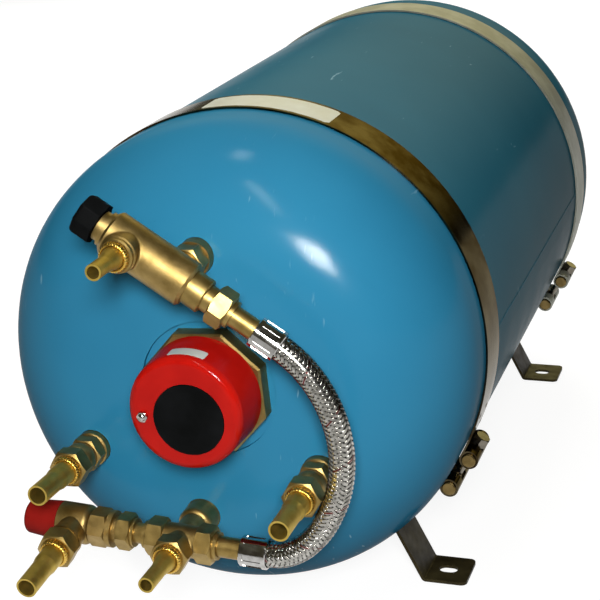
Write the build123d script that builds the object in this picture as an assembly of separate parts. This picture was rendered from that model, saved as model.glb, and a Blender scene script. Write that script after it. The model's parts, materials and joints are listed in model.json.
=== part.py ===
from build123d import *
from math import atan2, cos, degrees, radians, sin, sqrt, tan
import os

# A horizontal calorifier: an insulated hot water tank that lies on four strap
# feet, with its heater and all its pipe fittings on the front end.
# Millimetres. X to the right, Y to the back along the tank, Z up. The origin is
# on the floor, midway between the four foot slots. Fittings face -Y.

# Tank jacket
TANK_R = 180
JACKET_WALL = 4
AXIS_HEIGHT = 196
BAND_SPACING = 428
END_SKIRT = 44.5
KNUCKLE_R = 86
CROWN_R = 1234
SEAM_ANGLE = 1.5
SEAM_LAP = 14
SEAM_RISE = 0.4

# Straps round the tank and their clamps
BAND_WIDTH = 42
BAND_T = 1.5
TRUNNION_R = 5.5
TRUNNION_OVERHANG = 2
TRUNNION_CHAMFER = 0.8
CLAMP_UPPER_ANGLE = -27.7
CLAMP_LOWER_ANGLE = -36.7
CLAMP_SCREW_R = 3
CLAMP_NOTCH = 14
CLAMP_HEAD_AF = 11.5
CLAMP_HEAD_LENGTH = 8
CLAMP_SCREW_TAIL = 7

# Feet under the straps
FOOT_WIDTH = 40
FOOT_T = 2.5
FOOT_BEND_X = 127.6
FOOT_TIP_X = 162.3
FOOT_LEAN = 27
FOOT_BEND_R = 4
FOOT_CORNER_R = 5
FOOT_PAD_ARC = 24
SLOT_X = 144
SLOT_LENGTH = 15
SLOT_WIDTH = 11

# Places of the bosses on the front end
BOSS_CIRCLE_R = 100
HOT_ANGLE = 89.5
HOT_R = 101
COLD_ANGLE = 265.4
COLD_R = 98.2
LEFT_COIL_ANGLE = 209.4
LEFT_COIL_R = 104.2
LEFT_COIL_LIFT = 2.5
RIGHT_COIL_ANGLE = 327
RIGHT_COIL_R = 100
RIGHT_COIL_LIFT = 0
MANIFOLD_STANDOFF = 40.7

# Immersion heater
HEATER_X = 4.5
HEATER_Z = 4
RECESS_R = 50.5
RECESS_DEPTH = 5
HEATER_FLANGE_AF = 88
HEATER_FLANGE_T = 13.5
HEATER_FLANGE_TURN = 26
HEATER_FLANGE_CHAMFER = 1.5
HEATER_SHANK_R = 30
HEATER_SHANK_LENGTH = 22
CAP_REAR_R = 43
CAP_FRONT_R = 41.5
CAP_LENGTH = 38
CAP_EDGE_R = 6
CAP_WALL = 3
CAP_DISC_R = 25.7
CAP_DISC_T = 1.6
CAP_DISC_POCKET = 1
CAP_DISC_X = 3.5
CAP_DISC_Z = -3.6
CAP_NUT_X = -30
CAP_NUT_Z = -3.4
CAP_NUT_AF = 7
CAP_NUT_T = 3

# Pipe fittings that share one pattern
BOSS_R = 13
BOSS_INSET = 12
BOSS_COLLAR = 7.5
BOSS_EDGE = 1
BOSS_HEX_AF = 23
BOSS_HEX = 11
BOSS_BULGE_R = 12
BOSS_BULGE_END_R = 9.8
BOSS_BULGE = 14.5
NUT_AF = 25
NUT_LENGTH = 13
NUT_COLLAR_R = 10
NUT_COLLAR = 3
TAIL_ROOT_R = 8.3
TAIL_ROOT = 13
TAIL_R = 7.4
TAIL_WALL = 1.4
TAIL_TAPER = 5
COIL_TAIL_LENGTH = 59

# Thermostatic mixing valve, on the hot boss
MIXER_TILT = 32.8
MIXER_R = 16.3
MIXER_SHOULDER = 4
MIXER_BLEND = 1.6
MIXER_TO_COLD = 13.5
MIXER_END_CHAMFER = 2
MIXER_PORT_R = 9.5
MIXER_HOT_NUT_AF = 23
MIXER_HOT_NUT = 14
MIXER_OUTLET_STATION = 35.4
MIXER_OUTLET_R = 13
MIXER_OUTLET_REACH = 22
MIXER_OUTLET_EDGE = 1.2
MIXER_NECK_R = 10.8
MIXER_NECK = 7.5
MIXER_BEAD_R = 12.8
MIXER_BEAD = 3
MIXER_SPINDLE_R = 4
MIXER_SPINDLE = 12
KNOB_AF = 28.6
KNOB_SIDES = 8
KNOB_LENGTH = 15.6
KNOB_CORNER_R = 2.6
KNOB_EDGE_R = 3
MIXER_ADAPTER_R = 12.5
MIXER_ADAPTER = 13
MIXER_ADAPTER_EDGE = 0.8
ADAPTER_NECK_R = 9.6
ADAPTER_NECK = 6
MIXED_COLLAR_R = 12.2
MIXED_COLLAR = 3.6
MIXED_TAIL_LENGTH = 37
MIXED_TAIL_ROOT_R = 8
MIXED_TAIL_TAPER = 13
MIXED_TAIL_END_R = 5.7

# Braided hose between the mixing valve and the cold cross
HOSE_R = 9.3
HOSE_BORE_R = 6.3
STUB_R = 7.5
STUB_WALL = 1.5
UPPER_STUB_SHOW = 18
LOWER_STUB_SHOW = 17
FERRULE_R = 11
FERRULE_LENGTH = 20
FERRULE_FLOOR = 12
FERRULE_EDGE = 0.6
HOSE_LEAD = 7
FERRULE_FLAT_DEPTH = 0.8
FERRULE_FLATS = 8
FERRULE_FLAT_WIDTH = 4.6
FERRULE_FLAT_LENGTH = 13.5

# Cold cross with the feed and the relief valve
COLD_RUN_TILT = 3.2
CROSS_R = 11.5
CROSS_SHOULDER = 0.5
CROSS_FEED_R = 10.4
CROSS_BLEND = 1.2
COLD_BOSS_R = 12.8
COLD_BOSS_COLLAR = 19
COLD_BOSS_EDGE_R = 4
COLD_TAIL_LENGTH = 51.5
COLD_TAIL_ROOT_R = 7.8
COLD_TAIL_TAPER = 13
COLD_TAIL_END_R = 5.7
UNION_STUB = 9
UNION_R = 12
UNION_LENGTH = 11
UNION_BEAD_R = 10.4
UNION_BEAD = 2
RELIEF_NECK_R = 9.5
RELIEF_NECK = 3.5
RELIEF_RING_R = 13.4
RELIEF_RING = 4
RELIEF_HEX_AF = 25
RELIEF_HEX = 13.5
RELIEF_R = 14.5
RELIEF_EDGE_R = 4.5
RELIEF_OUTLET_R = 11.2
RELIEF_SHOULDER = 0.9
RELIEF_OUTLET_REACH = 26
RELIEF_BEAD_R = 12.4
RELIEF_BEAD = 2.5
RELIEF_BEAD_GAP = 2
RELIEF_OUTLET_DROP = 5
RELIEF_SPINDLE_R = 4
RELIEF_SPINDLE = 15
RELIEF_CAP_REAR_R = 14.5
RELIEF_CAP_FRONT_R = 12.2
RELIEF_CAP_LENGTH = 26
RELIEF_CAP_EDGE_R = 3.5
RELIEF_TAIL_LENGTH = 58

# Fits
RUNNING_FIT = 0.06
SLIP_FIT = 0.3
AXIAL_PLAY = 0.4
OVERRUN = 20

# Shares of a nut's size that its chamfer follows
HEX_CORNER_SHARE = 1.1547
NUT_FACE_SHARE = 0.95
NUT_WIDE_SHARE = 1.25
NUT_RISE_SHARE = 0.6

# Hose route between its ferrules, as (x, z) from the tank's axis
HOSE_ROUTE = [
    (94.0, 35.7),
    (105.8, 15.6),
    (112.4, -6.6),
    (113.6, -29.8),
    (109.2, -52.6),
    (100.1, -72.7),
    (89.6, -87.0),
    (78.0, -96.6),
]
HOSE_FILL_SHARE = 0.45

FRONT_Y = -BAND_SPACING / 2


def crown_centre(radius, knuckle, crown):
    """Place on the axis of the crown's centre, from where the skirt starts."""
    return END_SKIRT - sqrt((crown - knuckle) ** 2 - (radius - knuckle) ** 2)


def dome(radius, knuckle, crown):
    """Solid end: a skirt, a knuckle arc and a crown arc, turned about Y."""
    centre = crown_centre(radius, knuckle, crown)
    tilt = degrees(atan2(END_SKIRT - centre, radius - knuckle))
    skirt = Line((radius, 0), (radius, END_SKIRT))
    bend = CenterArc((radius - knuckle, END_SKIRT), knuckle, 0, tilt)
    cap = CenterArc((0, centre), crown, tilt, 90 - tilt)
    close = Polyline((0, centre + crown), (0, 0), (radius, 0))
    return revolve(make_face(skirt + bend + cap + close), Axis.Y)


def end_face(distance):
    """How far the end's surface stands before the strap's centre."""
    centre = crown_centre(TANK_R, KNUCKLE_R, CROWN_R)
    return centre + sqrt(CROWN_R ** 2 - distance ** 2)


def shaft(radius, start, stop):
    """Round bar along local Z between two stations."""
    low = (Align.CENTER, Align.CENTER, Align.MIN)
    return Pos(0, 0, start) * Cylinder(radius, stop - start, align=low)


def turned(*points):
    """Profile of (radius, station) points turned about local Z."""
    return revolve(Plane.XZ * make_face(Polyline(*points, close=True)), Axis.Z)


def blended(casting, radius):
    """Casting with the corner where one round arm leaves another filled to a radius."""
    saddles = [e for e in casting.edges() if e.geom_type not in (GeomType.CIRCLE, GeomType.LINE)]
    return fillet(saddles, radius)


def hex_bar(flats, start, stop, sides=6):
    """Nut blank along local Z with both ends chamfered round."""
    blank = extrude(RegularPolygon(flats / 2, sides, major_radius=False), stop - start)
    wide = flats * NUT_WIDE_SHARE / 2
    face = flats * NUT_FACE_SHARE / 2
    rise = (wide - face) * NUT_RISE_SHARE
    limit = turned(
        (0, 0),
        (face, 0),
        (wide, rise),
        (wide, stop - start - rise),
        (face, stop - start),
        (0, stop - start),
    )
    return Pos(0, 0, start) * (blank & limit)


def facing_front(x, z, reach):
    """Frame at a place on the front, with local Z out to the front."""
    origin = (x, FRONT_Y - reach, AXIS_HEIGHT + z)
    return Plane(origin, x_dir=(1, 0, 0), z_dir=(0, -1, 0)).location


def boss_place(angle, radius):
    return radius * cos(radians(angle)), radius * sin(radians(angle))


def coil_place(angle, radius, lift):
    """Frame of a coil connection, tilted up about the point where it meets the dome."""
    x, z = boss_place(angle, radius)
    return facing_front(x, z, BOSS_FACE) * Rot(-lift, 0, 0) * Pos(0, 0, -BOSS_FACE)


def save(shape, name):
    export_step(shape, "parts/" + name + ".step")


os.makedirs("parts", exist_ok=True)

BOSS_FACE = end_face(BOSS_CIRCLE_R)
MANIFOLD_REACH = BOSS_FACE + MANIFOLD_STANDOFF
APEX = end_face(0)
MIXER_TO_KNOB = MIXER_OUTLET_STATION + MIXER_OUTLET_R + MIXER_SHOULDER
CROSS_ARM = CROSS_R + CROSS_SHOULDER
CROSS_FRONT = NUT_AF * HEX_CORNER_SHARE / 2 + SLIP_FIT
RELIEF_LENGTH = 2 * (RELIEF_OUTLET_R + RELIEF_SHOULDER)
HOT_X, HOT_Z = boss_place(HOT_ANGLE, HOT_R)
COLD_X, COLD_Z = boss_place(COLD_ANGLE, COLD_R)
left_coil = coil_place(LEFT_COIL_ANGLE, LEFT_COIL_R, LEFT_COIL_LIFT)
right_coil = coil_place(RIGHT_COIL_ANGLE, RIGHT_COIL_R, RIGHT_COIL_LIFT)
hot = facing_front(HOT_X, HOT_Z, 0)
cold = facing_front(COLD_X, COLD_Z, 0)

# Jacket: a straight body with a lapped seam, and two domed ends that butt
# against it under the straps.
body = Pos(0, -FRONT_Y, AXIS_HEIGHT) * Rot(90, 0, 0) * (
    shaft(TANK_R, 0, BAND_SPACING) - shaft(TANK_R - JACKET_WALL, 0, BAND_SPACING)
)
lap_arc = degrees(SEAM_LAP / TANK_R)
lap_length = BAND_SPACING - BAND_WIDTH - 2 * SLIP_FIT
lap_ring = shaft(TANK_R + SEAM_RISE, 0, lap_length)
lap_ring -= shaft(TANK_R - JACKET_WALL / 2, 0, lap_length)
lap_wedge = extrude(
    make_face(
        Polyline(
            (0, 0),
            (TANK_R + OVERRUN, 0),
            (TANK_R + OVERRUN, -(TANK_R + OVERRUN) * tan(radians(lap_arc))),
            close=True,
        )
    ),
    lap_length,
)
lap = Rot(0, -SEAM_ANGLE, 0) * Rot(90, 0, 0) * (lap_ring & lap_wedge)
body += Pos(0, lap_length / 2, AXIS_HEIGHT) * lap
save(body, "body_jacket")

end_shell = dome(TANK_R, KNUCKLE_R, CROWN_R)
end_solid = end_shell
end_shell = end_shell - dome(TANK_R - JACKET_WALL, KNUCKLE_R - JACKET_WALL, CROWN_R - JACKET_WALL)
save(Pos(0, -FRONT_Y, AXIS_HEIGHT) * end_shell, "rear_end")

# The front end has a round recess for the heater and a hole for each boss.
recess_floor = APEX - RECESS_DEPTH
to_front = Pos(0, FRONT_Y, AXIS_HEIGHT) * Rot(0, 0, 180)
heater = facing_front(HEATER_X, HEATER_Z, 0)
front_end = to_front * end_shell
well = heater * shaft(RECESS_R + JACKET_WALL, recess_floor - JACKET_WALL, APEX + OVERRUN)
front_end += (to_front * end_solid) & well
front_end -= heater * shaft(RECESS_R, recess_floor, APEX + OVERRUN)
front_end -= heater * shaft(HEATER_SHANK_R + SLIP_FIT, 0, APEX)
for place in (hot, cold, left_coil, right_coil):
    front_end -= place * shaft(BOSS_R + SLIP_FIT, END_SKIRT, APEX + OVERRUN)
save(front_end, "front_end")

# Straps: an open ring of strip whose two ends are rolled into eyes. Each eye
# holds a trunnion, and a screw through both trunnions pulls the strap tight.
band_in = TANK_R + SLIP_FIT
band_out = band_in + BAND_T
eye_in = TRUNNION_R + SLIP_FIT
eye_out = eye_in + BAND_T
eye_place = band_in + eye_out


def on_ring(angle, radius):
    return radius * cos(radians(angle)), radius * sin(radians(angle))


def strap_frame(y):
    """Frame at a strap's centre with local X right and local Y up."""
    return Plane((0, y, AXIS_HEIGHT), x_dir=(1, 0, 0), z_dir=(0, -1, 0)).location


upper_x, upper_y = on_ring(CLAMP_UPPER_ANGLE, eye_place)
lower_x, lower_y = on_ring(CLAMP_LOWER_ANGLE, eye_place)
gap_arc = Polyline(
    (0, 0),
    on_ring(CLAMP_UPPER_ANGLE, TANK_R + OVERRUN),
    on_ring(CLAMP_LOWER_ANGLE, TANK_R + OVERRUN),
    close=True,
)
strap_face = Circle(band_out) - Circle(band_in) - make_face(gap_arc)
for x, y in ((upper_x, upper_y), (lower_x, lower_y)):
    strap_face += Pos(x, y) * Circle(eye_out)
for x, y in ((upper_x, upper_y), (lower_x, lower_y)):
    strap_face -= Pos(x, y) * Circle(eye_in)
strap = extrude(strap_face, BAND_WIDTH / 2, both=True)
screw_dir = Vector(upper_x - lower_x, upper_y - lower_y, 0)
screw_span = screw_dir.length
screw_frame = Plane((lower_x, lower_y, 0), x_dir=(0, 0, 1), z_dir=screw_dir).location
notch = Box(CLAMP_NOTCH, eye_in * 2, screw_span + 2 * (eye_out + OVERRUN / 2))
notch_low = Pos(0, 0, screw_span / 2) * notch
strap -= (screw_frame * notch_low) - Cylinder(band_out, BAND_WIDTH)

trunnion = Cylinder(TRUNNION_R, BAND_WIDTH + 2 * TRUNNION_OVERHANG)
trunnion = chamfer(trunnion.edges(), TRUNNION_CHAMFER)
screw_hole = screw_frame * shaft(CLAMP_SCREW_R + SLIP_FIT, -OVERRUN, screw_span + OVERRUN)
head_seat = screw_span + TRUNNION_R
screw = screw_frame * (
    shaft(CLAMP_SCREW_R, -eye_out - CLAMP_SCREW_TAIL, head_seat)
    + hex_bar(CLAMP_HEAD_AF, head_seat, head_seat + CLAMP_HEAD_LENGTH)
)
upper_trunnion = Pos(upper_x, upper_y) * trunnion - screw_hole
lower_trunnion = Pos(lower_x, lower_y) * trunnion - screw_hole
clamp = Compound([*upper_trunnion.solids(), *lower_trunnion.solids()])
for side, y in (("front", FRONT_Y), ("rear", -FRONT_Y)):
    save(strap_frame(y) * strap, side + "_band")
    save(strap_frame(y) * clamp, side + "_band_clamp")
    save(strap_frame(y) * screw, side + "_band_screw")

# Feet: one strip each, bent from a slotted sole through a leaning leg into a
# pad that lies on the strap.
pad_r = band_out + SLIP_FIT + FOOT_T
lean_x, lean_y = -sin(radians(FOOT_LEAN)), cos(radians(FOOT_LEAN))
dot = FOOT_BEND_X * lean_x - AXIS_HEIGHT * lean_y
leg_length = -dot - sqrt(dot ** 2 - FOOT_BEND_X ** 2 - AXIS_HEIGHT ** 2 + pad_r ** 2)
top_x = FOOT_BEND_X + lean_x * leg_length
top_y = lean_y * leg_length - AXIS_HEIGHT
top_angle = degrees(atan2(top_y, top_x))
pad_end = on_ring(top_angle - FOOT_PAD_ARC, pad_r)
pad_mid = on_ring(top_angle - FOOT_PAD_ARC / 2, pad_r)
strip = Wire(
    [
        Edge.make_line((FOOT_TIP_X, -AXIS_HEIGHT), (FOOT_BEND_X, -AXIS_HEIGHT)),
        Edge.make_line((FOOT_BEND_X, -AXIS_HEIGHT), (top_x, top_y)),
        Edge.make_three_point_arc((top_x, top_y), pad_mid, pad_end),
    ]
)
bends = strip.vertices().sort_by_distance((FOOT_BEND_X, -AXIS_HEIGHT))[0:1]
bends += strip.vertices().sort_by_distance((top_x, top_y))[0:1]
strip = strip.fillet_2d(FOOT_BEND_R, bends)
foot_face = make_face(strip.offset_2d(FOOT_T, side=Side.RIGHT, closed=True))
foot = extrude(foot_face, FOOT_WIDTH / 2, both=True)
slot = SlotOverall(SLOT_LENGTH, SLOT_WIDTH)
foot -= Pos(SLOT_X, -AXIS_HEIGHT, 0) * Rot(90, 0, 0) * extrude(slot, FOOT_T + OVERRUN, both=True)
corner_edges = [
    e for e in foot.edges().filter_by(Axis.Y) if abs(e.center().X - FOOT_TIP_X) < SLIP_FIT
]
foot = fillet(corner_edges, FOOT_CORNER_R)
for side, y in (("front", FRONT_Y), ("rear", -FRONT_Y)):
    save(strap_frame(y) * foot, side + "_right_foot")
    save(mirror(strap_frame(y) * foot, Plane.YZ), side + "_left_foot")

# Immersion heater: octagonal brass flange in the recess, red cap on it, black
# disc let into the cap's face and a dome nut that holds the cap.
flange_front = recess_floor + HEATER_FLANGE_T
flange = extrude(RegularPolygon(HEATER_FLANGE_AF / 2, 8, major_radius=False), HEATER_FLANGE_T)
flange = chamfer(flange.faces().sort_by(Axis.Z)[-1].edges(), HEATER_FLANGE_CHAMFER)
flange = Pos(0, 0, recess_floor) * Rot(0, 0, HEATER_FLANGE_TURN) * flange
flange += shaft(HEATER_SHANK_R, recess_floor - HEATER_SHANK_LENGTH, recess_floor)
save(heater * flange, "heater_flange")

cap_face = flange_front + CAP_LENGTH
cap = turned(
    (0, flange_front),
    (CAP_REAR_R, flange_front),
    (CAP_FRONT_R, cap_face),
    (0, cap_face),
)
cap = fillet(cap.edges().group_by(Axis.Z)[-1], CAP_EDGE_R)
cap -= turned(
    (0, flange_front),
    (CAP_REAR_R - CAP_WALL, flange_front),
    (CAP_FRONT_R - CAP_EDGE_R, cap_face - CAP_WALL),
    (0, cap_face - CAP_WALL),
)
disc_seat = cap_face - CAP_DISC_POCKET
disc_place = Pos(CAP_DISC_X, CAP_DISC_Z, 0)
cap -= disc_place * shaft(CAP_DISC_R + SLIP_FIT, disc_seat, cap_face + OVERRUN)
save(heater * cap, "heater_cap")
save(heater * disc_place * shaft(CAP_DISC_R, disc_seat, disc_seat + CAP_DISC_T), "heater_cap_disc")
nut_crown = CAP_NUT_AF * NUT_FACE_SHARE / 2
cap_nut = hex_bar(CAP_NUT_AF, cap_face, cap_face + CAP_NUT_T)
cap_nut += Pos(0, 0, cap_face + CAP_NUT_T) * Sphere(nut_crown, arc_size1=0)
save(heater * Pos(CAP_NUT_X, CAP_NUT_Z, 0) * cap_nut, "heater_cap_nut")


def eased(radius, start, stop, edge):
    """Round bar along local Z whose front edge is chamfered."""
    return turned((0, start), (radius, start), (radius, stop - edge), (radius - edge, stop), (0, stop))


def coil_boss():
    """Threaded boss through the jacket: round collar, hexagon and cast bulge."""
    hexagon = BOSS_FACE + BOSS_COLLAR
    bulge = hexagon + BOSS_HEX
    stop = bulge + BOSS_BULGE
    belly = ThreePointArc(
        (BOSS_BULGE_END_R, bulge),
        (BOSS_BULGE_R, (bulge + stop) / 2),
        (BOSS_BULGE_END_R, stop),
    )
    core = Polyline((BOSS_BULGE_END_R, stop), (0, stop), (0, bulge), (BOSS_BULGE_END_R, bulge))
    shape = eased(BOSS_R, BOSS_FACE - BOSS_INSET, hexagon, BOSS_EDGE)
    shape += hex_bar(BOSS_HEX_AF, hexagon, bulge)
    return shape + revolve(Plane.XZ * make_face(belly + core), Axis.Z)


def tail_nut(start, pipe_r, flats=NUT_AF):
    """Compression nut with a collar, bored for the pipe it grips."""
    stop = start + NUT_LENGTH
    shape = hex_bar(flats, start, stop) + shaft(NUT_COLLAR_R, stop, stop + NUT_COLLAR)
    return shape - shaft(pipe_r + SLIP_FIT, start - OVERRUN, stop + OVERRUN)


def tail(start, length, root_r, end_r, root, taper):
    """Open pipe tail: a thick root, a taper beyond it and a straight end."""
    neck = start + root + taper
    stop = start + length
    outer = shaft(end_r, neck, stop)
    outer += turned((0, start), (root_r, start), (root_r, start + root), (end_r, neck), (0, neck))
    return outer - shaft(end_r - TAIL_WALL, start - OVERRUN, stop + OVERRUN)


# Coil connections: boss, nut and plain pipe tail, left and right.
nut_length = NUT_LENGTH + NUT_COLLAR
thick_root = nut_length + TAIL_ROOT
coil_seat = BOSS_FACE + BOSS_COLLAR + BOSS_HEX + BOSS_BULGE
coil_tail = tail(coil_seat, COIL_TAIL_LENGTH, TAIL_ROOT_R, TAIL_R, thick_root, TAIL_TAPER)
for side, place in (("left", left_coil), ("right", right_coil)):
    save(place * coil_boss(), side + "_coil_boss")
    save(place * tail_nut(coil_seat, TAIL_ROOT_R), side + "_coil_nut")
    save(place * coil_tail, side + "_coil_tail")

# Mixing valve: a round body across the hot boss, tilted, with its knob at the
# upper left, the mixed outlet to the front and the cold port at the lower right.
mixer_dir = (cos(radians(MIXER_TILT)), 0, -sin(radians(MIXER_TILT)))
mixer_origin = Vector(HOT_X, FRONT_Y - MANIFOLD_REACH, AXIS_HEIGHT + HOT_Z)
mixer = Plane(mixer_origin, x_dir=(0, -1, 0), z_dir=mixer_dir).location
hot_seat = BOSS_FACE + BOSS_COLLAR
save(hot * shaft(BOSS_R, BOSS_FACE - BOSS_INSET, hot_seat), "hot_boss")
hot_port = hot_seat + MIXER_HOT_NUT
save(hot * hex_bar(MIXER_HOT_NUT_AF, hot_seat, hot_port), "hot_union_nut")

outlet_x = HOT_X - MIXER_OUTLET_STATION * mixer_dir[0]
outlet_z = HOT_Z - MIXER_OUTLET_STATION * mixer_dir[2]
outlet = facing_front(outlet_x, outlet_z, MANIFOLD_REACH)
mixer_body = shaft(MIXER_R, -MIXER_TO_KNOB, MIXER_TO_COLD)
mixer_body = chamfer(mixer_body.edges().filter_by(GeomType.CIRCLE), MIXER_END_CHAMFER)
mixer_body = mixer * mixer_body
mixer_body += hot * shaft(MIXER_PORT_R, hot_port, MANIFOLD_REACH)
mixer_body += outlet * eased(MIXER_OUTLET_R, 0, MIXER_OUTLET_REACH, MIXER_OUTLET_EDGE)
mixer_body = blended(mixer_body, MIXER_BLEND)
save(mixer_body, "mixing_valve_body")

knob_seat = -MIXER_TO_KNOB - MIXER_NECK
neck = shaft(MIXER_NECK_R, knob_seat, -MIXER_TO_KNOB)
neck += shaft(MIXER_BEAD_R, -MIXER_TO_KNOB - MIXER_BEAD, -MIXER_TO_KNOB)
neck += shaft(MIXER_SPINDLE_R, knob_seat - MIXER_SPINDLE, knob_seat)
save(mixer * neck, "mixing_valve_neck")

knob_rear = knob_seat - AXIAL_PLAY
knob_section = RegularPolygon(KNOB_AF / 2, KNOB_SIDES, major_radius=False)
knob_section = fillet(knob_section.vertices(), KNOB_CORNER_R)
knob = Pos(0, 0, knob_rear - KNOB_LENGTH) * extrude(knob_section, KNOB_LENGTH)
knob = fillet(knob.faces().sort_by(Axis.Z)[0].edges(), KNOB_EDGE_R)
knob -= shaft(MIXER_SPINDLE_R + RUNNING_FIT, knob_seat - MIXER_SPINDLE - AXIAL_PLAY, knob_seat)
save(mixer * knob, "mixing_valve_knob")

mixed_front = MIXER_OUTLET_REACH + MIXED_COLLAR
mixed_nut = eased(MIXED_COLLAR_R, MIXER_OUTLET_REACH, mixed_front, MIXER_OUTLET_EDGE)
mixed_nut += shaft(NUT_COLLAR_R, mixed_front, mixed_front + NUT_COLLAR)
mixed_nut -= shaft(MIXED_TAIL_ROOT_R + SLIP_FIT, 0, mixed_front + OVERRUN)
save(outlet * mixed_nut, "mixed_outlet_nut")
mixed_tail = tail(
    MIXER_OUTLET_REACH,
    MIXED_TAIL_LENGTH,
    MIXED_TAIL_ROOT_R,
    MIXED_TAIL_END_R,
    MIXED_COLLAR + NUT_COLLAR,
    MIXED_TAIL_TAPER,
)
save(outlet * mixed_tail, "mixed_outlet_tail")

adapter_step = MIXER_TO_COLD + MIXER_ADAPTER
adapter_end = adapter_step + ADAPTER_NECK
adapter = eased(MIXER_ADAPTER_R, MIXER_TO_COLD, adapter_step, MIXER_ADAPTER_EDGE)
adapter += shaft(ADAPTER_NECK_R, adapter_step, adapter_end)
save(mixer * adapter, "mixer_cold_adapter")
save(mixer * tail_nut(adapter_end, STUB_R), "mixer_cold_nut")


def hose_end(start, length):
    """Brass stub, pressed ferrule and the depth at which the hose butts."""
    stop = start + length
    stub = shaft(STUB_R, start, stop)
    stub -= shaft(STUB_R - STUB_WALL, start, stop)
    ferrule = shaft(FERRULE_R, stop, stop + FERRULE_LENGTH)
    ferrule = chamfer(ferrule.edges().filter_by(GeomType.CIRCLE), FERRULE_EDGE)
    ferrule -= shaft(HOSE_R + SLIP_FIT, stop + FERRULE_FLOOR, stop + FERRULE_LENGTH)
    ferrule -= shaft(STUB_R - STUB_WALL, stop, stop + FERRULE_FLOOR)
    flat = Box(FERRULE_FLAT_DEPTH * 2, FERRULE_FLAT_WIDTH, FERRULE_FLAT_LENGTH)
    flat = Pos(FERRULE_R, 0, stop + FERRULE_LENGTH / 2) * flat
    for i in range(FERRULE_FLATS):
        ferrule -= Rot(0, 0, 360 * i / FERRULE_FLATS) * flat
    return stub, ferrule, stop


# Hose: a stub and ferrule at each end, and the braided hose bent between them.
upper_stub, upper_ferrule, upper_stop = hose_end(adapter_end, nut_length + UPPER_STUB_SHOW)
save(mixer * upper_stub, "hose_upper_stub")
save(mixer * upper_ferrule, "hose_upper_ferrule")

cold_dir = (cos(radians(COLD_RUN_TILT)), 0, -sin(radians(COLD_RUN_TILT)))
cold_origin = Vector(COLD_X, FRONT_Y - MANIFOLD_REACH, AXIS_HEIGHT + COLD_Z)
cold_run = Plane(cold_origin, x_dir=(0, -1, 0), z_dir=cold_dir).location
lower_stub, lower_ferrule, lower_stop = hose_end(CROSS_ARM, nut_length + LOWER_STUB_SHOW)
save(cold_run * lower_stub, "hose_lower_stub")
save(cold_run * lower_ferrule, "hose_lower_ferrule")

butt = FERRULE_FLOOR
lead = FERRULE_LENGTH + HOSE_LEAD
route = [mixer_origin + Vector(mixer_dir) * (upper_stop + butt)]
route.append(mixer_origin + Vector(mixer_dir) * (upper_stop + lead))
for x, z in HOSE_ROUTE:
    route.append(Vector(x, FRONT_Y - MANIFOLD_REACH, AXIS_HEIGHT + z))
route.append(cold_origin + Vector(cold_dir) * (lower_stop + lead))
route.append(cold_origin + Vector(cold_dir) * (lower_stop + butt))
radii = []
for before, point, after in zip(route, route[1:], route[2:]):
    turn = (point - before).get_angle(after - point)
    shorter = min((point - before).length, (after - point).length)
    radii.append(HOSE_FILL_SHARE * shorter / tan(radians(turn / 2)))
hose_path = FilletPolyline(*route, radius=radii)
hose_start = Plane(route[0], z_dir=route[1] - route[0])
hose = sweep(hose_start * (Circle(HOSE_R) - Circle(HOSE_BORE_R)), path=hose_path)
print("hose radii", [round(r, 1) for r in radii])
hose_section = (Circle(HOSE_R) - Circle(HOSE_BORE_R)).area
volume_share = hose.volume / hose_section / hose_path.length
print("hose length", round(hose_path.length, 1), "volume share", round(volume_share, 5))
save(hose, "braided_hose")

# Cold side: a cross on the cold boss, with the feed tail to the front, the hose
# to the right and the relief valve on a short union to the left.
cold_shoulder = BOSS_FACE + COLD_BOSS_COLLAR
cold_seat = end_face(BOSS_CIRCLE_R - COLD_BOSS_R) + SLIP_FIT
cold_boss = shaft(BOSS_R, BOSS_FACE - BOSS_INSET, cold_seat)
cold_boss += shaft(COLD_BOSS_R, cold_seat, cold_shoulder)
cold_boss = fillet(cold_boss.edges().group_by(Axis.Z)[-1], COLD_BOSS_EDGE_R)
save(cold * cold_boss, "cold_boss")
cross = cold_run * shaft(CROSS_R, -CROSS_ARM, CROSS_ARM)
cross += cold * shaft(CROSS_FEED_R, cold_shoulder, MANIFOLD_REACH + CROSS_FRONT)
cross = blended(cross, CROSS_BLEND)
save(cross, "cold_cross")
feed = facing_front(COLD_X, COLD_Z, MANIFOLD_REACH)
save(cold_run * tail_nut(CROSS_ARM, STUB_R), "cross_hose_nut")
save(feed * tail_nut(CROSS_FRONT, COLD_TAIL_ROOT_R), "cold_feed_nut")
feed_tail = tail(
    CROSS_FRONT,
    COLD_TAIL_LENGTH,
    COLD_TAIL_ROOT_R,
    COLD_TAIL_END_R,
    nut_length,
    COLD_TAIL_TAPER,
)
save(feed * feed_tail, "cold_feed_tail")

# The left run is laid out from the cross outwards, so its frame points left.
left_dir = (-cold_dir[0], 0, -cold_dir[2])
left_run = Plane(cold_origin, x_dir=(0, -1, 0), z_dir=left_dir).location
save(left_run * tail_nut(CROSS_ARM, STUB_R), "cross_relief_nut")
union_start = CROSS_ARM + nut_length + UNION_STUB
union_end = union_start + UNION_LENGTH
union = shaft(STUB_R, CROSS_ARM, union_start) + hex_bar(UNION_R * 2, union_start, union_end)
union += shaft(UNION_BEAD_R, union_start - UNION_BEAD, union_start)
save(left_run * union, "relief_union")
ring_start = union_end + RELIEF_NECK
hex_start = ring_start + RELIEF_RING
hex_end = hex_start + RELIEF_HEX
relief_end = hex_end + RELIEF_LENGTH
relief_centre = cold_origin + Vector(left_dir) * (hex_end + RELIEF_LENGTH / 2)
drop = radians(RELIEF_OUTLET_DROP)
outlet_dir = (0, -cos(drop), -sin(drop))
relief_outlet = Plane(relief_centre, x_dir=(1, 0, 0), z_dir=outlet_dir).location
relief = shaft(RELIEF_R, hex_end, relief_end)
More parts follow.
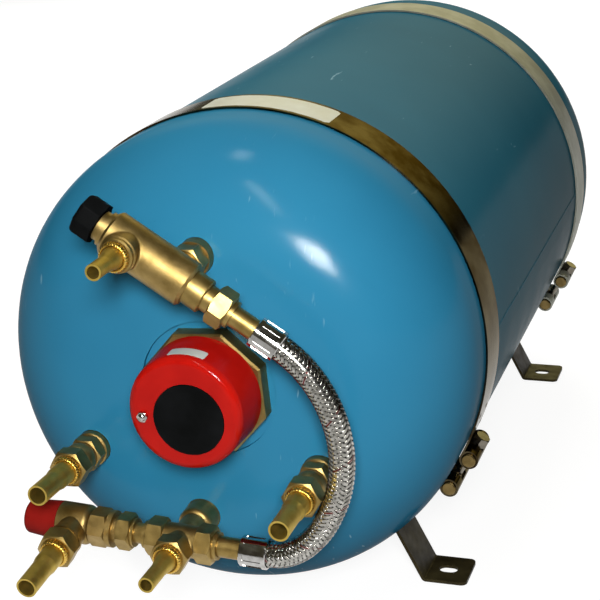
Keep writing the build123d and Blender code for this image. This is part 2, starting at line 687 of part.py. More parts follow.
relief = fillet(relief.edges().group_by(Axis.Z)[0], RELIEF_EDGE_R)
relief = left_run * relief + relief_outlet * shaft(RELIEF_OUTLET_R, 0, RELIEF_OUTLET_REACH)
bead_end = RELIEF_OUTLET_REACH - RELIEF_BEAD_GAP
relief += relief_outlet * shaft(RELIEF_BEAD_R, bead_end - RELIEF_BEAD, bead_end)
relief_run = shaft(RELIEF_NECK_R, union_end, ring_start)
relief_run += shaft(RELIEF_RING_R, ring_start, hex_start)
relief_run += hex_bar(RELIEF_HEX_AF, hex_start, hex_end)
relief_run += shaft(RELIEF_SPINDLE_R, relief_end, relief_end + RELIEF_SPINDLE)
save(relief + left_run * relief_run, "relief_valve_body")
save(relief_outlet * tail_nut(RELIEF_OUTLET_REACH, TAIL_ROOT_R), "relief_outlet_nut")
relief_tail = tail(RELIEF_OUTLET_REACH, RELIEF_TAIL_LENGTH, TAIL_ROOT_R, TAIL_R, thick_root, TAIL_TAPER)
save(relief_outlet * relief_tail, "relief_outlet_tail")

relief_cap_rear = relief_end + AXIAL_PLAY
relief_cap = turned(
    (0, relief_cap_rear),
    (RELIEF_CAP_REAR_R, relief_cap_rear),
    (RELIEF_CAP_FRONT_R, relief_cap_rear + RELIEF_CAP_LENGTH),
    (0, relief_cap_rear + RELIEF_CAP_LENGTH),
)
relief_cap = fillet(relief_cap.edges().group_by(Axis.Z)[-1], RELIEF_CAP_EDGE_R)
spindle_end = relief_end + RELIEF_SPINDLE + AXIAL_PLAY
relief_cap -= shaft(RELIEF_SPINDLE_R + RUNNING_FIT, relief_end, spindle_end)
save(left_run * relief_cap, "relief_valve_cap")
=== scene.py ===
import json

import bpy
import numpy as np
from mathutils import Euler, Matrix, Vector


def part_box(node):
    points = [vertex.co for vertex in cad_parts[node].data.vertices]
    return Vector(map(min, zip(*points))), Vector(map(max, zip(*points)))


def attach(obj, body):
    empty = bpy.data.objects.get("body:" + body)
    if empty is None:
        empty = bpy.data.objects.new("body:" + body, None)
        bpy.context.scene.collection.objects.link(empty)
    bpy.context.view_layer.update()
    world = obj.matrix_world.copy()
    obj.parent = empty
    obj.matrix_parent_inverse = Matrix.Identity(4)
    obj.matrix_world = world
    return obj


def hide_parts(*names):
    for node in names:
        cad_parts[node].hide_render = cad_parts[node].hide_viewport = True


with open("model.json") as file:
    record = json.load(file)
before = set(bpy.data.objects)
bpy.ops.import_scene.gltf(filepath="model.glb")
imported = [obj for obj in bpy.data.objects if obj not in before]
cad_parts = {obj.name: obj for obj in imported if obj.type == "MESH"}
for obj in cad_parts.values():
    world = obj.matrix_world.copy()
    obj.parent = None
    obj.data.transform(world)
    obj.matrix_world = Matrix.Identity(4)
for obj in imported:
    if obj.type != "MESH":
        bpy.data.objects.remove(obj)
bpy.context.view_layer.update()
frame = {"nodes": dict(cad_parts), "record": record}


# Jacket: a rolled steel body with a lapped seam and two pressed domes, sprayed
# blue. The body and the rear end wear a darker, greyer copy of the dome's paint,
# which is painted shade. Handling has left a faint haze and a few short pale scratches.
def paint(red, green, blue):
    """Linear colour of an sRGB paint chip given in 0 to 255 a channel."""
    chip = np.array([red, green, blue]) / 255
    linear = np.where(chip < 0.04045, chip / 12.92, ((chip + 0.055) / 1.055) ** 2.4)
    return (*linear.tolist(), 1.0)


def new_finish(name, **sockets):
    """Principled finish; each keyword sets one shader socket, with _ for a space."""
    finish = bpy.data.materials.new(name)
    finish.use_nodes = True
    shader = finish.node_tree.nodes["Principled BSDF"]
    for socket, value in sockets.items():
        shader.inputs[socket.replace("_", " ")].default_value = value
    return finish


def feed(finish, **sockets):
    """Links outputs to the finish's principled shader."""
    shader = finish.node_tree.nodes["Principled BSDF"]
    for socket, output in sockets.items():
        finish.node_tree.links.new(output, shader.inputs[socket.replace("_", " ")])


def plug(finish, value, socket):
    """Links another node's output to a socket, or sets the socket's own value."""
    if isinstance(value, bpy.types.NodeSocket):
        finish.node_tree.links.new(value, socket)
    else:
        socket.default_value = value


def grow(finish, kind, **sockets):
    """Adds a shader node; each keyword gives one socket a value or another node's output."""
    node = finish.node_tree.nodes.new("ShaderNode" + kind)
    for socket, value in sockets.items():
        plug(finish, value, node.inputs[socket.replace("_", " ")])
    return node


def place_of(finish, stretch=(1, 1, 1), turn=(0, 0, 0)):
    """Object coordinates, stretched and turned for a grain that has a direction."""
    coordinates = grow(finish, "TexCoord").outputs["Object"]
    return grow(finish, "Mapping", Vector=coordinates, Scale=stretch, Rotation=turn).outputs["Vector"]


def cloud(finish, vector, scale, detail=3.0, roughness=0.5):
    """Soft noise from 0 to 1; scale is in clouds a metre."""
    node = grow(finish, "TexNoise", Vector=vector, Scale=scale, Detail=detail, Roughness=roughness)
    return node.outputs[0]


def spread(finish, value, low, high, start=0.3, stop=0.7):
    """Maps a value between start and stop onto low to high."""
    node = grow(finish, "MapRange", Value=value, From_Min=start, From_Max=stop, To_Min=low, To_Max=high)
    return node.outputs["Result"]


def tint(finish, factor, under, over):
    """Colour that goes from under to over with the factor."""
    node = grow(finish, "Mix")
    node.data_type = "RGBA"
    sockets = {socket.identifier: socket for socket in (*node.inputs, *node.outputs)}
    plug(finish, factor, sockets["Factor_Float"])
    plug(finish, under, sockets["A_Color"])
    plug(finish, over, sockets["B_Color"])
    return sockets["Result_Color"]


def drift(finish, noise, dark, light, start=0.3, stop=0.7):
    """Colour that drifts from dark to light as a noise goes from start to stop."""
    return tint(finish, spread(finish, noise, 0, 1, start, stop), dark, light)


def combine(finish, operation, first, second):
    """Two masks joined by a Math operation; the second may be a plain number."""
    node = grow(finish, "Math")
    node.operation = operation
    plug(finish, first, node.inputs[0])
    plug(finish, second, node.inputs[1])
    return node.outputs[0]


def relief(finish, height, depth, strength, under=None):
    """Bump of a given depth in metres, laid over another bump where one is given."""
    node = grow(finish, "Bump", Height=height, Distance=depth, Strength=strength)
    if under is not None:
        plug(finish, under, node.inputs["Normal"])
    return node.outputs["Normal"]


def dress(finish, *nodes):
    """Gives the finish to the named solids."""
    for name in nodes:
        materials = frame["nodes"][name].data.materials
        materials.clear()
        materials.append(finish)


def blue_paint(name, dark, light):
    """Sprayed paint: drifting shade, hazy gloss over a faint wobble and orange peel, and short pale
    scratches, which are thin stretched noise in two directions, kept to a few patches."""
    finish = new_finish(name, IOR=1.01, Coat_Weight=0.07, Coat_IOR=2.2, Coat_Roughness=0.17)
    scratch_shade, scratch_share = paint(150, 190, 204), 0.6
    place = place_of(finish)
    shade = drift(finish, cloud(finish, place, scale=5.0), dark, light)
    patches = spread(finish, cloud(finish, place, scale=9.0, detail=2.0), 0, 1, start=0.54, stop=0.64)
    scratches = []
    for turn in ((0.3, 1.1, 0.2), (1.2, -0.7, 0.9)):
        slanted = place_of(finish, stretch=(150, 22, 26), turn=turn)
        streaks = cloud(finish, slanted, scale=1.6, detail=2.0)
        scratches.append(spread(finish, streaks, 0, 1, start=0.72, stop=0.77))
    scuffs = combine(finish, "MULTIPLY", combine(finish, "MAXIMUM", *scratches), patches)
    scuffs = combine(finish, "MULTIPLY", scuffs, scratch_share)
    feed(finish, Base_Color=tint(finish, scuffs, shade, scratch_shade))
    haze = cloud(finish, place, scale=21.0, detail=6.0, roughness=0.62)
    feed(finish, Roughness=spread(finish, haze, 0.14, 0.27))
    wobble = relief(finish, cloud(finish, place, scale=16.0, detail=1.0), depth=0.0012, strength=0.5)
    peel_grain = cloud(finish, place, scale=420.0, detail=2.0)
    peel = relief(finish, peel_grain, depth=0.0002, strength=0.1, under=wobble)
    feed(finish, Normal=peel, Coat_Normal=peel)
    return finish


dress(blue_paint("dome_blue", paint(37, 112, 146), paint(44, 121, 155)), "front_end")
# The body and the rear end take the dome's blue made darker and greyer: painted shade.
dress(blue_paint("body_blue_painted_shade", paint(37, 96, 117), paint(44, 105, 126)), "body_jacket", "rear_end")


# Straps: strips of stainless steel that hold the tank on its feet, the front one
# polished and the rear one satin. The front one's dark brown base colour is a painted
# reflection of a dark room, and the rear one's pale grey base is painted light. Their
# rolled ends are spot welded beside the clamp, and the front strap carries a plain white label.
def new_piece(name, vertices, faces, finish):
    """Mesh piece that rides on the tank and takes the finish it is given."""
    mesh = bpy.data.meshes.new(name)
    mesh.from_pydata(vertices.reshape(-1, 3), [], faces)
    mesh.shade_smooth()
    mesh.materials.append(finish)
    piece = bpy.data.objects.new(name, mesh)
    bpy.context.scene.collection.objects.link(piece)
    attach(piece, "tank")
    return piece


def grid_faces(rows, columns, wrap_rows=False, wrap_columns=False, first=0, flip=False):
    """Quads of a grid of vertices, closed round either way where asked; flip turns their faces over."""
    last_row, last_column = rows - (not wrap_rows), columns - (not wrap_columns)
    row, column = np.meshgrid(np.arange(last_row), np.arange(last_column), indexing="ij")
    next_row, next_column = (row + 1) % rows, (column + 1) % columns
    corners = (
        row * columns + column,
        next_row * columns + column,
        next_row * columns + next_column,
        row * columns + next_column,
    )
    if flip:
        corners = corners[::-1]
    return (np.stack(corners, -1).reshape(-1, 4) + first).tolist()


def strap_steel(name, metal, dark, light, rough_low, rough_high, rim):
    """Strip steel: rolling lines that run round the strap, and soft smears; rim tints the gloss at a low
    angle."""
    finish = new_finish(name, Metallic=metal, Specular_Tint=rim)
    lines = cloud(finish, place_of(finish, stretch=(2.5, 900, 2.5)), scale=1.0)
    smears = cloud(finish, place_of(finish), scale=26.0, detail=5.0, roughness=0.6)
    feed(finish, Base_Color=drift(finish, smears, dark, light, start=0.4, stop=0.6))
    feed(finish, Roughness=spread(finish, lines, rough_low, rough_high))
    feed(finish, Normal=relief(finish, lines, depth=0.0001, strength=0.18))
    return finish


# Front strap: the dark brown base colour is a painted reflection of a dark room.
POLISHED_PAINTED_DARK = strap_steel(
    "polished_strap_painted_reflection", metal=1.0, dark=paint(48, 38, 22), light=paint(84, 76, 57),
    rough_low=0.07, rough_high=0.2, rim=paint(192, 188, 180),
)
# Rear strap: the pale grey base colour is painted light, a lit copy of the same steel.
SATIN_PAINTED_PALE = strap_steel(
    "satin_strap_painted_light", metal=0.3, dark=paint(142, 143, 130), light=paint(166, 168, 156),
    rough_low=0.4, rough_high=0.55, rim=paint(240, 240, 236),
)
dress(POLISHED_PAINTED_DARK, "front_band")
dress(SATIN_PAINTED_PALE, "rear_band")

strap_low, strap_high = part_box("front_band")
dome_low, dome_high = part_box("front_end")
axis_height = (dome_low.z + dome_high.z) / 2
strap_r = strap_high.z - axis_height


def strap_middle(strap):
    """Middle of a strap's width, along the tank."""
    low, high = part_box(strap)
    return (low.y + high.y) / 2


def on_strap(angle, across, height):
    """Points at an angle round the strap, across its width, above its outer face."""
    radius = strap_r + height
    return np.stack([radius * np.cos(angle), across, axis_height + radius * np.sin(angle)], -1)


def weld_spots(name, strap, finish):
    """Shallow round pips: height falls off with the square of the distance from each centre."""
    pip_r, pip_rise, pip_sink, flat_share = 0.0026, 0.00035, 0.00002, 0.08
    spokes, rings = 16, 5
    angles = np.radians([-17.5, -22.0, -42.4, -46.9])
    rows = np.array([-0.011, 0.011])
    turn = np.linspace(0, 2 * np.pi, spokes, endpoint=False)
    reach = np.linspace(flat_share, 1, rings)
    angle, row, rim, out = np.meshgrid(angles, rows, turn, reach, indexing="ij")
    around = angle + out * pip_r * np.cos(rim) / strap_r
    across = strap_middle(strap) + row + out * pip_r * np.sin(rim)
    points = on_strap(around, across, pip_rise * (1 - out ** 2) - pip_sink)
    pip_size = spokes * rings
    faces = []
    for first in range(0, angles.size * rows.size * pip_size, pip_size):
        faces += grid_faces(spokes, rings, wrap_rows=True, first=first)
        faces.append([first + spoke * rings for spoke in reversed(range(spokes))])
    new_piece(name, points, faces, finish)


weld_spots("front_band_welds", "front_band", POLISHED_PAINTED_DARK)
weld_spots("rear_band_welds", "rear_band", SATIN_PAINTED_PALE)


def label_white():
    """Plain film: off-white, faintly grey where it has been rubbed."""
    finish = new_finish("label_white", IOR=1.45)
    rub = cloud(finish, place_of(finish), scale=60.0, detail=5.0, roughness=0.6)
    feed(finish, Base_Color=drift(finish, rub, paint(172, 175, 168), paint(194, 197, 190)))
    feed(finish, Roughness=spread(finish, rub, 0.28, 0.42))
    return finish


LABEL = label_white()
LABEL_STEPS = 41


def label_sheet(half_length, half_width, corner, thickness):
    """Rounded rectangle as along, across and height. Along is u times the half length, across is v times
    the half width less a quarter circle at each corner, and the height drops to zero at the rim."""
    share = np.linspace(-1, 1, LABEL_STEPS)
    u, v = np.meshgrid(share, share, indexing="ij")
    along = half_length * u
    inset = np.clip(np.abs(along) - (half_length - corner), 0, corner)
    across = (half_width - corner + np.sqrt(corner ** 2 - inset ** 2)) * v
    rim = (np.abs(u) == 1) | (np.abs(v) == 1)
    return along, across, np.where(rim, 0.0, thickness)


label_angle, label_gap = np.radians(85), 0.00002
label_along, label_across, label_height = label_sheet(
    half_length=0.0505, half_width=0.0175, corner=0.003, thickness=0.00018
)
label_turn = label_angle - label_along / strap_r
label_y = strap_middle("front_band") + label_across
label_points = on_strap(label_turn, label_y, label_height + label_gap)
new_piece("front_band_label", label_points, grid_faces(LABEL_STEPS, LABEL_STEPS), LABEL)


# Strap clamps: two turned trunnions and a screw at the lower right of each
# strap, yellow-passivated zinc, dulled by handling.
def clamp_zinc():
    """Passivated zinc: gold to olive drift and a satin grain."""
    finish = new_finish("clamp_zinc", Metallic=1.0)
    place = place_of(finish)
    stain = cloud(finish, place, scale=90.0, detail=4.0, roughness=0.6)
    feed(finish, Base_Color=drift(finish, stain, paint(98, 82, 48), paint(136, 116, 74)))
    feed(finish, Roughness=spread(finish, cloud(finish, place, scale=260.0), 0.26, 0.42))
    feed(finish, Normal=relief(finish, cloud(finish, place, scale=900.0), depth=0.0001, strength=0.12))
    return finish


def screw_steel():
    """Dark plated steel: small clouds of grey in a satin gloss."""
    finish = new_finish("screw_steel", Metallic=1.0)
    place = place_of(finish)
    stain = cloud(finish, place, scale=160.0)
    feed(finish, Base_Color=tint(finish, stain, paint(88, 84, 76), paint(140, 134, 122)))
    feed(finish, Roughness=spread(finish, cloud(finish, place, scale=320.0), 0.2, 0.36))
    return finish


dress(clamp_zinc(), "front_band_clamp", "rear_band_clamp")
dress(screw_steel(), "front_band_screw", "rear_band_screw")


# Feet: four strips of olive-passivated steel, bent and slotted, with the tank's
# weight on their pads.
def foot_steel():
    """Olive passivated sheet: cloudy colour, and paler where it has been rubbed."""
    finish = new_finish("foot_steel", Metallic=0.1, IOR=1.15)
    place = place_of(finish)
    stain = cloud(finish, place, scale=34.0, detail=5.0, roughness=0.65)
    feed(finish, Base_Color=drift(finish, stain, paint(32, 26, 13), paint(66, 59, 36)))
    feed(finish, Roughness=spread(finish, cloud(finish, place, scale=120.0, detail=4.0), 0.3, 0.5))
    feed(finish, Normal=relief(finish, cloud(finish, place, scale=700.0), depth=0.0001, strength=0.15))
    return finish


dress(foot_steel(), "front_left_foot", "front_right_foot", "rear_left_foot", "rear_right_foot")


# Immersion heater: a brass octagon in the dome's recess, a glossy red cap over
# its terminals, a black disc let into the cap, one dome nut and a plain label.
def brass(name, dark, light, rough_low, rough_high, sand=0.0):
    """Brass: tarnish in soft clouds; sand is the depth of a cast skin's grain in metres."""
    finish = new_finish(name, Metallic=1.0)
    place = place_of(finish)
    tarnish = cloud(finish, place, scale=75.0, detail=5.0, roughness=0.6)
    feed(finish, Base_Color=drift(finish, tarnish, dark, light))
    wear = cloud(finish, place, scale=190.0, detail=4.0)
    feed(finish, Roughness=spread(finish, wear, rough_low, rough_high))
    grain = relief(finish, cloud(finish, place, scale=900.0), depth=0.0001, strength=0.1)
    if sand:
        pits = cloud(finish, place, scale=800.0, detail=2.0)
        grain = relief(finish, pits, depth=sand, strength=0.6, under=grain)
    feed(finish, Normal=grain)
    return finish


CAST_BRASS = brass(
    "cast_brass", dark=paint(134, 111, 61), light=paint(170, 145, 91),
    rough_low=0.4, rough_high=0.52, sand=0.00012,
)
dress(CAST_BRASS, "heater_flange")


def moulded(name, dark, light, rough_low, rough_high, gloss):
    """Moulded plastic: barely drifting colour, a fine skin, and a share of gloss."""
    finish = new_finish(name, IOR=1.02, Coat_Weight=gloss, Coat_IOR=2.2, Coat_Roughness=rough_low)
    place = place_of(finish)
    feed(finish, Base_Color=drift(finish, cloud(finish, place, scale=40.0), dark, light))
    handling = cloud(finish, place, scale=120.0, detail=5.0, roughness=0.6)
    feed(finish, Roughness=spread(finish, handling, rough_low, rough_high))
    skin = cloud(finish, place, scale=1400.0, detail=2.0)
    feed(finish, Normal=relief(finish, skin, depth=0.00004, strength=0.3))
    return finish


CAP_RED = moulded(
    "cap_red", dark=paint(156, 14, 9), light=paint(172, 20, 12),
    rough_low=0.12, rough_high=0.24, gloss=0.08,
)
BLACK = moulded(
    "black_plastic", dark=paint(10, 11, 11), light=paint(19, 20, 21),
    rough_low=0.34, rough_high=0.5, gloss=0.012,
)
dress(CAP_RED, "heater_cap")
dress(BLACK, "heater_cap_disc")


def chrome_plate():
    """Bright plating with faint wiping marks."""
    finish = new_finish("chrome_plate", Metallic=1.0)
    marks = cloud(finish, place_of(finish), scale=140.0, detail=5.0, roughness=0.6)
    feed(finish, Base_Color=drift(finish, marks, paint(160, 158, 154), paint(204, 203, 200)))
    feed(finish, Roughness=spread(finish, marks, 0.07, 0.18))
    return finish


CHROME = chrome_plate()
dress(CHROME, "heater_cap_nut")

cap_low, cap_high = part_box("heater_cap")
cap_x, cap_z = (cap_low.x + cap_high.x) / 2, (cap_low.z + cap_high.z) / 2
cap_rear_r = (cap_high.z - cap_low.z) / 2
cap_draft, cap_side = 0.0015, 0.038
note_angle, note_from_rear, note_gap = np.radians(88), 0.0265, 0.00003
note_along, note_across, note_height = label_sheet(
    half_length=0.0142, half_width=0.0052, corner=0.0015, thickness=0.00016
)
note_depth = note_from_rear + note_across
note_r = cap_rear_r - cap_draft / cap_side * note_depth + note_height + note_gap
note_turn = note_angle - note_along / cap_rear_r
note_points = np.stack(
    [cap_x + note_r * np.cos(note_turn), cap_high.y - note_depth, cap_z + note_r * np.sin(note_turn)], -1
)
new_piece("heater_cap_label", note_points, grid_faces(LABEL_STEPS, LABEL_STEPS, flip=True), LABEL)


# Coil connections: a cast boss, a turned compression nut and a drawn pipe tail
# on each side. A bright knurled ring shows where each tail leaves its nut, here
# and on the outlets and the feed.
TURNED_BRASS = brass(
    "turned_brass", dark=paint(136, 113, 61), light=paint(172, 147, 89), rough_low=0.36, rough_high=0.48
)
DRAWN_BRASS = brass(
    "drawn_brass", dark=paint(176, 150, 66), light=paint(208, 182, 94), rough_low=0.46, rough_high=0.58
)
BRIGHT_BRASS = brass(
    "bright_brass", dark=paint(206, 164, 70), light=paint(232, 194, 98), rough_low=0.22, rough_high=0.34
)
dress(CAST_BRASS, "left_coil_boss", "right_coil_boss")
dress(TURNED_BRASS, "left_coil_nut", "right_coil_nut")
dress(DRAWN_BRASS, "left_coil_tail", "right_coil_tail")


def mouth_of(nut, axis):
    """Distance along an axis of the nut's furthest corner."""
    mesh = frame["nodes"][nut].data
    corners = np.empty(len(mesh.vertices) * 3)
    mesh.vertices.foreach_get("co", corners)
    return (corners.reshape(-1, 3) @ axis).max()


def knurled_ring(name, nut, pin):
    """Ring round a pipe at its nut's mouth: a closed profile turned about the pin's axis. Its outer
    radius rises and falls as a cosine of the angle times the number of teeth."""
    teeth, steps_a_tooth, tooth_rise = 30, 6, 0.00055
    profile_r = np.array([0.0085, 0.0104, 0.0109, 0.0104, 0.0095, 0.0085])
    profile_along = np.array([-0.0032, -0.0032, -0.0014, 0.0004, 0.0013, 0.0013])
    toothed_share = np.array([0, 1, 1, 1, 0.35, 0])
    axis = np.array(pin["axis"], float)
    axis /= np.linalg.norm(axis)
    side = np.cross(axis, [0, 0, 1.0])
    side /= np.linalg.norm(side)
    rise = np.cross(side, axis)
    centre = np.array(pin["pos_m"], float)
    centre += axis * (mouth_of(nut, axis) - centre @ axis)
    angle = np.linspace(0, 2 * np.pi, teeth * steps_a_tooth, endpoint=False)[:, None]
    radius = profile_r + toothed_share * tooth_rise * (np.cos(teeth * angle) - 1) / 2
    ring = radius[..., None] * (np.cos(angle)[..., None] * side + np.sin(angle)[..., None] * rise)
    points = centre + ring + profile_along[None, :, None] * axis
    faces = grid_faces(angle.size, profile_r.size, wrap_rows=True, wrap_columns=True, flip=True)
    new_piece(name, points, faces, BRIGHT_BRASS)


for pin in frame["record"]["mounts"]:
    if pin["kind"] == "pin":
        fitting = pin["name"].removesuffix("_tail")
        knurled_ring(fitting + "_ring", fitting + "_nut", pin)


# Mixing valve: a cast brass body across the hot boss, with a black hand knob,
# a mixed outlet to the front and an adapter to the hose.
dress(CAST_BRASS, "hot_boss", "mixing_valve_body", "mixing_valve_neck")
dress(TURNED_BRASS, "hot_union_nut", "mixer_cold_adapter", "mixer_cold_nut", "mixed_outlet_nut")
dress(DRAWN_BRASS, "mixed_outlet_tail")
dress(BLACK, "mixing_valve_knob")


# Hose: a rubber tube in a braid of stainless wire with a red tracer, crimped
# into a plated ferrule on a brass stub at each end.
dress(TURNED_BRASS, "hose_upper_stub", "hose_lower_stub")
dress(CHROME, "hose_upper_ferrule", "hose_lower_ferrule")

HOSE_ROUTE = [
    (0.0669, 0.2545), (0.0795, 0.2463), (0.0940, 0.2317), (0.1058, 0.2116),
    (0.1124, 0.1894), (0.1136, 0.1662), (0.1092, 0.1434), (0.1001, 0.1233),
    (0.0896, 0.1090), (0.0780, 0.0994), (0.0640, 0.0941), (0.0490, 0.0949),
]
hose_low, hose_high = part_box("braided_hose")
hose_y = (hose_low.y + hose_high.y) / 2
hose_r = (hose_high.y - hose_low.y) / 2


def hose_line():
    """Points of the smooth curve that has the route's points as its controls."""
    curve = bpy.data.curves.new("hose_line", "CURVE")
    curve.dimensions = "3D"
    curve.resolution_u = 24
    spline = curve.splines.new("NURBS")
    spline.points.add(len(HOSE_ROUTE) - 1)
    for point, (x, z) in zip(spline.points, HOSE_ROUTE):
        point.co = (x, hose_y, z, 1)
    spline.order_u = 3
    spline.use_endpoint_u = True
    carrier = bpy.data.objects.new("hose_line", curve)
    mesh = bpy.data.meshes.new_from_object(carrier)
    line = np.empty(len(mesh.vertices) * 3)
    mesh.vertices.foreach_get("co", line)
    bpy.data.objects.remove(carrier)
    bpy.data.meshes.remove(mesh)
    return line.reshape(-1, 3)


hose_path = hose_line()
hose_station = np.concatenate([[0], np.cumsum(np.linalg.norm(np.diff(hose_path, axis=0), axis=1))])
hose_slope = np.gradient(hose_path, hose_station, axis=0)
hose_length = hose_station[-1]


def round_hose(station, angle, radius):
    """Points at a station along the hose, an angle round it and a radius from its line."""
    station = np.clip(station, 0, hose_length)
    centre = np.stack([np.interp(station, hose_station, row) for row in hose_path.T], -1)
    run = np.stack([np.interp(station, hose_station, row) for row in hose_slope.T], -1)
    run /= np.linalg.norm(run, axis=-1, keepdims=True)
    front = np.array([0, -1.0, 0])
    side = np.cross(run, front)
    spoke = np.cos(angle)[..., None] * front + np.sin(angle)[..., None] * side
    return centre + radius[..., None] * spoke


def braid_wire():
    """Drawn stainless wire; the attribute tracer marks the red strands and core the rubber below."""
    finish = new_finish("braid_wire")
    masks = {}
    for name in ("tracer", "core"):
        node = grow(finish, "Attribute")
        node.attribute_name = name
        masks[name] = node.outputs["Fac"]
    place = place_of(finish)
    bright = drift(finish, cloud(finish, place, scale=300.0), paint(142, 140, 133), paint(200, 198, 191))
    wire = tint(finish, masks["tracer"], bright, paint(112, 18, 26))
    feed(finish, Base_Color=tint(finish, masks["core"], wire, paint(14, 13, 12)))
    feed(finish, Metallic=spread(finish, masks["core"], 1, 0, start=0, stop=1))
    feed(finish, Roughness=spread(finish, cloud(finish, place, scale=500.0), 0.14, 0.28))
    return finish


def hose_braid():
    """Ten ribbons each way, two over and two under, on a rubber tube. A ribbon's angle goes up or down
    with the station, its radius swings as a cosine of the crossings it has passed, and five wires ridge
    its width."""
    carriers, wires, period = 10, 5, 0.0034
    swing, ridge, braid_depth, tube_gap = 0.00045, 0.00018, 0.0006, 0.0006
    cover_share, tracer_share = 0.66, 0.21
    middle_r = hose_r - braid_depth
    lead = 2 * np.pi / (carriers * period)
    lean = np.arctan(lead * middle_r)
    ribbon_width = cover_share * 2 * np.pi * middle_r / carriers * np.cos(lean)
    rows, columns, tube_steps = 300, 2 * wires + 1, 48
    station = np.linspace(0, hose_length, rows)[:, None]
    across = np.linspace(-0.5, 0.5, columns)[None, :]
    wire = ridge * (1 - np.cos(2 * np.pi * wires * (across + 0.5))) / 2
    along = station - across * ribbon_width * np.sin(lean)
    vertices, faces, tracer = [], [], []
    for hand in (1, -1):
        climb = hand * (station * lead + across * ribbon_width * np.cos(lean) / middle_r)
        for ribbon in range(carriers):
            angle = climb + 2 * np.pi * ribbon / carriers
            passed = 2 * ribbon + hand * 2 * station / period
            lift = hand * swing * np.cos(np.pi / 2 * (passed - 0.5))
            first = len(vertices) * rows * columns
            faces += grid_faces(rows, columns, first=first, flip=hand == 1)
            vertices.append(round_hose(along, angle, middle_r + lift + wire))
            marked = (hand == 1) & (ribbon == 0) & (np.abs(across) < tracer_share)
            tracer.append(np.broadcast_to(marked, (rows, columns)))
    woven = len(vertices) * rows * columns
    tube_angle = np.linspace(0, 2 * np.pi, tube_steps, endpoint=False)
    tube_station, tube_angle = np.meshgrid(station.ravel(), tube_angle, indexing="ij")
    tube = round_hose(tube_station, tube_angle, np.full(tube_angle.shape, middle_r - tube_gap))
    faces += grid_faces(rows, tube_steps, wrap_columns=True, first=woven, flip=True)
    points = np.concatenate([np.concatenate(vertices).reshape(-1, 3), tube.reshape(-1, 3)])
    piece = new_piece("hose_braid", points, faces, braid_wire())
    marks = np.concatenate([np.concatenate(tracer).ravel(), np.zeros(tube_angle.size)])
    cores = np.concatenate([np.zeros(woven), np.ones(tube_angle.size)])
    for name, values in (("tracer", marks), ("core", cores)):
        attribute = piece.data.attributes.new(name, "FLOAT", "POINT")
        attribute.data.foreach_set("value", values.astype(np.float32))
    return piece


hose = hose_braid()
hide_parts("braided_hose")


# Cold side: a cast cross on the cold boss, with the feed tail to the front, the
# hose to the right and a relief valve with a red cap on a union to the left.
dress(CAST_BRASS, "cold_boss", "cold_cross", "relief_valve_body")
dress(TURNED_BRASS, "cross_hose_nut", "cross_relief_nut", "cold_feed_nut")
dress(TURNED_BRASS, "relief_union", "relief_outlet_nut")
dress(DRAWN_BRASS, "cold_feed_tail", "relief_outlet_tail")
RELIEF_RED = moulded(
    "relief_red", dark=paint(118, 20, 16), light=paint(136, 26, 21),
    rough_low=0.3, rough_high=0.46, gloss=0.04,
)
dress(RELIEF_RED, "relief_valve_cap")


# Floor, light and camera: a white studio floor, a key lamp beside the camera, a
# strip and a small ceiling lamp that draw the dome's highlights, two soft lamps
# behind the tank, and a dim room with a bright window at its far end.
def studio_floor():
    """White board that keeps the shadows on it: diffuse, with a glow for the rays that see it directly.
    The glow eases off with Y in front of the tank."""
    finish = bpy.data.materials.new("studio_floor")
    finish.use_nodes = True
    finish.node_tree.nodes.clear()
    rays = grow(finish, "LightPath").outputs
    seen = combine(finish, "MAXIMUM", rays["Is Camera Ray"], rays["Is Glossy Ray"])
    seen = combine(finish, "MAXIMUM", seen, rays["Is Transmission Ray"])
    place = grow(finish, "SeparateXYZ", Vector=place_of(finish)).outputs
    lift = spread(finish, place["Y"], 0.5, 0.89, start=-0.95, stop=-0.4)
    diffuse = grow(finish, "BsdfDiffuse", Color=(0.2, 0.2, 0.2, 1))
    glow = grow(finish, "Emission", Strength=combine(finish, "MULTIPLY", seen, lift))
    total = grow(finish, "AddShader")
    plug(finish, diffuse.outputs[0], total.inputs[0])
    plug(finish, glow.outputs[0], total.inputs[1])
    grow(finish, "OutputMaterial", Surface=total.outputs[0])
    return finish


FLOOR_HALF = 40.0
floor_mesh = bpy.data.meshes.new("floor")
floor_corners = FLOOR_HALF * np.array([[-1, -1, 0], [1, -1, 0], [1, 1, 0], [-1, 1, 0]])
floor_mesh.from_pydata(floor_corners, [], [[0, 1, 2, 3]])
floor_mesh.materials.append(studio_floor())
floor = bpy.data.objects.new("floor", floor_mesh)
bpy.context.scene.collection.objects.link(floor)


def lamp(name, place, target, size, watts, cone=180, turn=0, gloss=True):
    """Rectangular lamp at a place, aimed at a target and turned about its beam, in degrees. The cone
    narrows the beam, and gloss lets reflections show the lamp."""
    light = bpy.data.lights.new(name, "AREA")
    light.shape = "RECTANGLE"
    light.size, light.size_y = size
    light.energy = watts
    light.spread = np.radians(cone)
    holder = bpy.data.objects.new(name, light)
    aim = (Vector(target) - Vector(place)).to_track_quat("-Z", "Y").to_matrix().to_4x4()
    holder.matrix_world = Matrix.Translation(place) @ aim @ Matrix.Rotation(np.radians(turn), 4, "Z")
    holder.visible_camera = False
    holder.visible_glossy = gloss
    bpy.context.scene.collection.objects.link(holder)


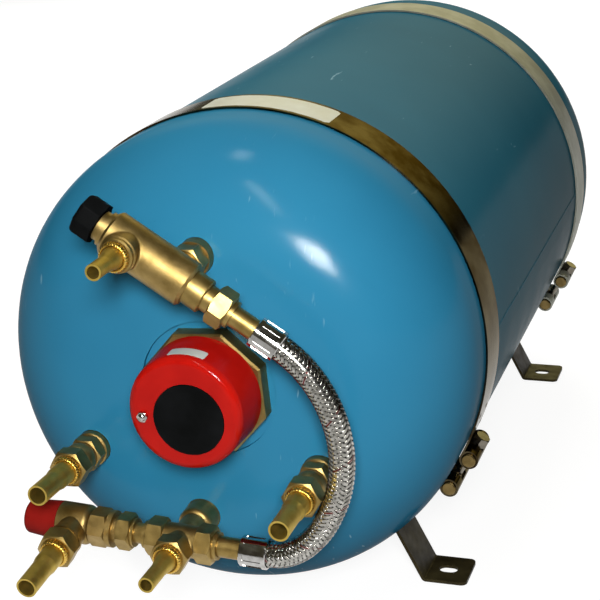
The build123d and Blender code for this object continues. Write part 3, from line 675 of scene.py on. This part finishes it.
lamp("key_lamp", (0.5, -1.6, 0.89), (0.0, -0.3, 0.18), (0.34, 0.34), watts=1.7, cone=40)
lamp("strip_lamp", (0.12, -1.55, 2.2), (0.1, -0.3, 0.3), (0.11, 1.0), watts=1.2, cone=80, turn=28)
lamp("ceiling_lamp", (-0.32, -0.12, 2.4), (-0.05, -0.25, 0.3), (0.42, 0.2), watts=0.6, cone=80, turn=20)
lamp("sky_lamp", (-0.4, 1.5, 2.5), (-0.1, 0.4, 0.3), (1.2, 1.2), watts=30.0, gloss=False)
lamp("back_lamp", (-1.3, 2.3, 1.2), (-0.1, 0.25, 0.2), (1.2, 1.2), watts=34.0, gloss=False)


def studio_world():
    """Room light by direction: dim near the floor, brighter overhead, plain in front, a bright warm
    window low at the far end, and dark to the right."""
    window_light, strength = (4.8, 4.2, 1.8, 1.0), 0.4
    world = bpy.data.worlds.new("studio_world")
    world.use_nodes = True
    bpy.context.scene.world = world
    direction = grow(world, "SeparateXYZ", Vector=grow(world, "TexCoord").outputs["Generated"]).outputs
    height = spread(world, direction["Z"], 0, 1, start=-0.1, stop=0.9)
    room = tint(world, height, paint(56, 56, 44), paint(160, 160, 126))
    front = spread(world, direction["Y"], 0, 1, start=0.1, stop=-0.7)
    room = tint(world, front, room, paint(112, 106, 88))
    far_end = spread(world, direction["Y"], 0, 1, start=0.65, stop=0.95)
    above_sill = spread(world, direction["Z"], 0, 1, start=0.05, stop=0.3)
    room = tint(world, combine(world, "MULTIPLY", far_end, above_sill), room, window_light)
    right = spread(world, direction["X"], 0, 1, start=0.1, stop=0.7)
    room = tint(world, right, room, paint(34, 31, 24))
    background = world.node_tree.nodes["Background"]
    plug(world, room, background.inputs["Color"])
    plug(world, strength, background.inputs["Strength"])


studio_world()

CAMERA_PLACE = (0.4109, -1.3254, 0.6300)
CAMERA_YAW, CAMERA_PITCH, CAMERA_ROLL = np.radians([18.89, 19.16, -2.90])
camera_data = bpy.data.cameras.new("camera")
camera_data.sensor_width = 36.0
camera_data.lens = 96.7
camera = bpy.data.objects.new("camera", camera_data)
aim = Euler((np.pi / 2 - CAMERA_PITCH, 0, CAMERA_YAW)).to_matrix().to_4x4()
camera.matrix_world = Matrix.Translation(CAMERA_PLACE) @ aim @ Matrix.Rotation(CAMERA_ROLL, 4, "Z")
bpy.context.scene.collection.objects.link(camera)
bpy.context.scene.camera = camera
bpy.context.scene.view_settings.view_transform = "Standard"
